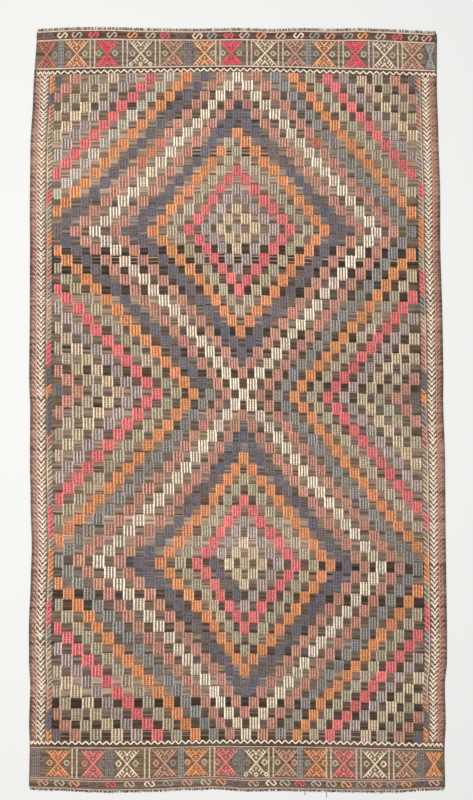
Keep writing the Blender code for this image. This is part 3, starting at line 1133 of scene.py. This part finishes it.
def make_fringe(name, side, sign, reach, dark_share, dark_tone):
    """Short cut warp ends in brown and cream wool along one end."""
    mesh = YarnMesh()
    left = edge(LEFT_SIDE, sign * 1.52) + TUFT_MARGIN
    right = edge(RIGHT_SIDE, sign * 1.52) - TUFT_MARGIN
    x = np.linspace(left, right, TUFTS) + vary(0.0006, TUFTS)
    start = edge(side, x) - sign * TUFT_ROOT
    length = reach + TUFT_ROOT + vary(0.0012, TUFTS)
    lean = np.clip(vary(0.0012, TUFTS), -0.0025, 0.0025)
    t = np.linspace(0, 1, len(TUFT_SWELLINGS))[None, :]
    lines = np.stack([x[:, None] + lean[:, None] * t ** 2, start[:, None] + sign * length[:, None] * t], -1)
    dark = (np.arange(TUFTS) % 2 == 0) ^ (RANDOM.random(TUFTS) < 0.15)
    dark |= RANDOM.random(TUFTS) < dark_share
    colours = np.where(dark[:, None], linear(dark_tone), linear(TUFT_LIGHT))
    colours = np.clip(colours * (1 + vary(0.16, TUFTS, 1)), 0, 1)
    width = TUFT_WIDTH * (1 + vary(0.15, TUFTS))
    add_ridges(mesh, lines, width, TUFT_HEIGHT, colours, TUFT_SWELLINGS, level=FRINGE_LEVEL)
    for place, end, stray_reach in STRAY_THREADS_MM:
        if end == sign:
            add_stray_thread(mesh, place * MM, side, sign, stray_reach * MM)
    return mesh.build(name)


def add_stray_thread(mesh, x, side, sign, reach):
    """One long loose warp end, bent a little to the side."""
    t = np.linspace(0, 1, STRAY_STEPS)
    y = edge(side, x) + sign * (reach * t - 0.003)
    line = np.stack([x + 0.2 * reach * np.sin(2.4 * t), y], -1)
    colour = linear(STRAY_TONE)[None]
    even = np.ones(STRAY_STEPS)
    add_ridges(mesh, line[None], np.array([STRAY_WIDTH]), STROKE_HEIGHT, colour, even, level=FRINGE_LEVEL)


# ================================================================ materials

def node(tree, kind, inputs, output, **settings):
    """The output of a new shader node, whose inputs are values or links from other nodes."""
    item = tree.nodes.new("ShaderNode" + kind)
    for key, value in settings.items():
        setattr(item, key, value)
    for key, value in inputs.items():
        if isinstance(value, bpy.types.NodeSocket):
            tree.links.new(value, item.inputs[key])
        else:
            item.inputs[key].default_value = value
    return item.outputs[output]


def stretched_noise(tree, place, scale, detail=2.0):
    """Noise drawn out along the yarn: scale says how many grains a metre, each way."""
    stretched = node(tree, "Mapping", {"Scale": (*scale, 1.0), "Vector": place}, "Vector")
    return node(tree, "TexNoise", {"Scale": 1.0, "Detail": detail, "Vector": stretched}, "Fac")


def grain(tree, scale):
    """Even noise through the cloth: scale says how many grains a metre."""
    place = node(tree, "TexCoord", {}, "Object")
    return node(tree, "TexNoise", {"Scale": scale, "Detail": 2.0, "Vector": place}, "Fac")


def spread_to(tree, value, low, high, start=0.3, end=0.7):
    """value from start to end taken to low to high."""
    limits = {"From Min": start, "From Max": end, "To Min": low, "To Max": high}
    return node(tree, "MapRange", {**limits, "Value": value}, "Result")


def multiply(tree, first, second):
    """Two factors as one."""
    return node(tree, "Math", {0: first, 1: second}, "Value", operation="MULTIPLY")


def fine_waves(tree, place, direction, pitch, distortion=1.2):
    """Threads side by side: pitch is from one to the next, distortion how uneven they are."""
    inputs = {"Scale": 0.314 / pitch, "Distortion": distortion, "Detail": 1.0, "Vector": place}
    return node(tree, "TexWave", inputs, "Fac", bands_direction=direction)


def wool(name, roughness, sheen, relief, pattern, tinted=None, strength=0.6):
    """Wool in the mesh's own dye and painted shade, with a pattern of the yarn as light and dark and as
    relief; on ribs and low yarn that pattern holds painted shade too.
    """
    material = bpy.data.materials.new(name)
    material.use_nodes = True
    tree = material.node_tree
    shader = tree.nodes["Principled BSDF"]
    looks = {"Roughness": roughness, "Specular IOR Level": 0.08}
    looks.update({"Sheen Weight": sheen, "Sheen Roughness": 0.6})
    for key, value in looks.items():
        shader.inputs[key].default_value = value
    colour = node(tree, "Attribute", {}, "Color", attribute_name="DyeAndPaintedShade")
    if tinted:
        colour = tinted(tree, colour)
    factor = pattern(tree, node(tree, "UVMap", {}, "UV", uv_map="Yarn"))
    shaded = node(tree, "VectorMath", {0: colour, "Scale": factor}, "Vector", operation="SCALE")
    tree.links.new(shaded, shader.inputs["Base Color"])
    normal = node(tree, "Bump", {"Distance": relief, "Strength": strength, "Height": factor}, "Normal")
    tree.links.new(normal, shader.inputs["Normal"])
    return material


def ground_pattern(tree, place):
    """Long soft streaks along the weft over close-set warps."""
    broad = spread_to(tree, stretched_noise(tree, place, (3.0, 95.0), 1.0), 0.52, 1.42, 0.32, 0.68)
    fine = spread_to(tree, stretched_noise(tree, place, (22.0, 190.0)), 0.66, 1.26)
    warps = spread_to(tree, fine_waves(tree, place, "X", 0.0024), 0.88, 1.08, 0.0, 1.0)
    picks = spread_to(tree, fine_waves(tree, place, "Y", 0.0013), 0.82, 1.14, 0.0, 1.0)
    return multiply(tree, multiply(tree, broad, fine), multiply(tree, warps, picks))


def bed_pattern(tree, place):
    """Low yarn between ribs, with a dark hollow of painted shade wherever a float turns down."""
    dots = spread_to(tree, fine_waves(tree, place, "Y", 1.0, 2.5), 0.72, 1.20, 0.1, 0.9)
    fuzz = spread_to(tree, stretched_noise(tree, place, (3.0, 3.0), 3.0), 0.80, 1.20)
    tufts = spread_to(tree, grain(tree, 150.0), 0.60, 1.42)
    return multiply(tree, multiply(tree, dots, fuzz), tufts)


def ridge_painted_shade(tree, place):
    """Painted shade: darker towards the sides of a ridge, and in the slanting furrows between its floats.
    The same factor also gives relief.
    """
    slant = node(tree, "Mapping", {"Rotation": (0.0, 0.0, FLOAT_SLANT), "Vector": place}, "Vector")
    floats = spread_to(tree, fine_waves(tree, slant, "Y", FLOAT_PITCH), 0.76, 1.12, 0.0, 1.0)
    side = node(tree, "SeparateXYZ", {"Vector": place}, "X")
    across = node(tree, "Math", {0: side}, "Value", operation="ABSOLUTE")
    return multiply(tree, floats, spread_to(tree, across, 1.06, 0.84, 0.35, 1.0))


def rib_pattern(tree, place):
    """Brocading wool, a little loose, fuzzy and worn, over the ridge's painted shade."""
    fuzz = spread_to(tree, stretched_noise(tree, place, (1.5, 900.0), 3.0), 0.90, 1.10)
    wear = spread_to(tree, grain(tree, 120.0), 0.72, 1.26)
    return multiply(tree, multiply(tree, ridge_painted_shade(tree, place), fuzz), wear)


def mottled_pattern(tree, place):
    """Brocading wool spun from mixed fleece, with dark and light specks, over the ridge's painted shade."""
    specks = spread_to(tree, grain(tree, 230.0), 0.55, 1.48, 0.34, 0.66)
    return multiply(tree, ridge_painted_shade(tree, place), specks)


def mottled_tint(tree, dyed):
    """Mixed fleece: the dye leans to navy in some places and to warm grey in others."""
    share = spread_to(tree, grain(tree, 160.0), 0.0, 1.0, 0.35, 0.65)
    casts = {"A": (0.92, 0.97, 1.10, 1.0), "B": (1.10, 1.03, 0.88, 1.0), "Factor": share}
    cast = node(tree, "Mix", casts, "Result", data_type="RGBA")
    return node(tree, "VectorMath", {0: dyed, 1: cast}, "Vector", operation="MULTIPLY")


def twist_pattern(tree, place):
    """Twisted warp ends."""
    return spread_to(tree, fine_waves(tree, place, "Y", 0.0021), 0.82, 1.08, 0.0, 1.0)


def floor_paint():
    """Matt pale paint."""
    material = bpy.data.materials.new("pale_floor")
    material.use_nodes = True
    shader = material.node_tree.nodes["Principled BSDF"]
    looks = {"Base Color": (*linear(FLOOR_TONE), 1.0), "Roughness": 0.9, "Specular IOR Level": 0.1}
    for key, value in looks.items():
        shader.inputs[key].default_value = value
    return material


# ================================================================ put together

def weave_pattern():
    """Weaves the field, the side borders and the end bands into the meshes of their yarns."""
    head_band = (HEAD_INNER, HEAD_LINE)
    foot_band = (FOOT_LINE, FOOT_INNER)
    weave_field()
    weave_side_border(LEFT_SIDE, "pink", LEFT_INNER_YARNS)
    weave_side_border(RIGHT_SIDE, "russet", RIGHT_INNER_YARNS)
    weave_lines()
    weave_zigzag(HEAD_ZIGZAG)
    weave_zigzag(FOOT_ZIGZAG)
    weave_dark_bar(head_band, HEAD_PANEL_MM * MM, "ash", HEAD_PANEL_HALF)
    weave_end_band(head_band, HEAD_CROSSES, HEAD_BARS, HEAD_FILLS, HEAD_CROSS_FILL, False)
    weave_end_band(foot_band, FOOT_CROSSES, FOOT_BARS, FOOT_FILLS, FOOT_CROSS_FILL, True)
    weave_hooks((HEAD_RIM, HEAD_INNER), HEAD_HOOKS, True)
    weave_hooks((FOOT_INNER, FOOT_RIM), FOOT_HOOKS, False)


def make_yarns():
    """One object for each raised yarn in use, and one for all the low yarn."""
    plain = wool("rib_wool", 0.92, 0.08, 0.0004, rib_pattern)
    mixed = wool("mottled_wool", 0.92, 0.08, 0.0004, mottled_pattern, mottled_tint)
    yarns = []
    for name, mesh in MESHES.items():
        if mesh.count:
            yarns.append(mesh.build("ribs_" + name))
            yarns[-1].data.materials.append(mixed if name in MOTTLED_YARNS else plain)
    yarns.append(BEDS.build("low_yarn"))
    yarns[-1].data.materials.append(wool("bed_wool", 0.95, 0.05, 0.0006, bed_pattern))
    return yarns


def place_rug():
    """Makes every piece, gives it its material and ties it to the frame."""
    weave_pattern()
    yarns = make_yarns()
    ground = make_ground()
    ground.data.materials.append(wool("ground_wool", 0.95, 0.05, 0.0006, ground_pattern))
    head = make_fringe("fringe_head_ends", HEAD_SIDE, 1, *HEAD_TUFTS)
    foot = make_fringe("fringe_foot_ends", FOOT_SIDE, -1, *FOOT_TUFTS)
    twisted = wool("fringe_wool", 0.95, 0.2, 0.0003, twist_pattern, strength=0.5)
    for item in (head, foot):
        item.data.materials.append(twisted)
    for item in [ground, head, foot] + yarns:
        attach(item, "root")
    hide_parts("kilim")
    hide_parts("fringe_head")
    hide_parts("fringe_foot")


def make_floor():
    """A wide pale floor, just under the rug."""
    bpy.ops.mesh.primitive_plane_add(size=FLOOR_SIZE, location=(0, 0, -FLOOR_DROP))
    floor = bpy.context.object
    floor.name = "floor"
    floor.data.materials.append(floor_paint())


def make_light():
    """Wide soft light from above and a little to the left, with a pale surrounding."""
    data = bpy.data.lights.new("overhead", "AREA")
    data.shape = "RECTANGLE"
    data.size, data.size_y = LIGHT_SIZE
    data.energy = LIGHT_POWER
    data.color = LIGHT_COLOUR
    light = bpy.data.objects.new("overhead", data)
    light.location = LIGHT_PLACE
    light.rotation_euler = LIGHT_TURN
    bpy.context.scene.collection.objects.link(light)
    world = bpy.data.worlds.new("pale_room")
    world.use_nodes = True
    background = world.node_tree.nodes["Background"]
    background.inputs["Color"].default_value = ROOM_COLOUR
    background.inputs["Strength"].default_value = ROOM_STRENGTH
    bpy.context.scene.world = world


def make_camera():
    """Almost straight above, leaning 5 degrees from the foot."""
    data = bpy.data.cameras.new("view")
    data.sensor_width = SENSOR
    data.lens = SENSOR * VIEW_DISTANCE / VIEW_HEIGHT_AT_AIM
    camera = bpy.data.objects.new("view", data)
    x, y, z = VIEW_AIM
    back = VIEW_DISTANCE * math.sin(VIEW_TILT)
    up = VIEW_DISTANCE * math.cos(VIEW_TILT)
    camera.location = (x, y - back, z + up)
    camera.rotation_euler = (VIEW_TILT, 0, 0)
    bpy.context.scene.collection.objects.link(camera)
    bpy.context.scene.camera = camera


bpy.context.scene.view_settings.view_transform = "Standard"
place_rug()
make_floor()
make_light()
make_camera()
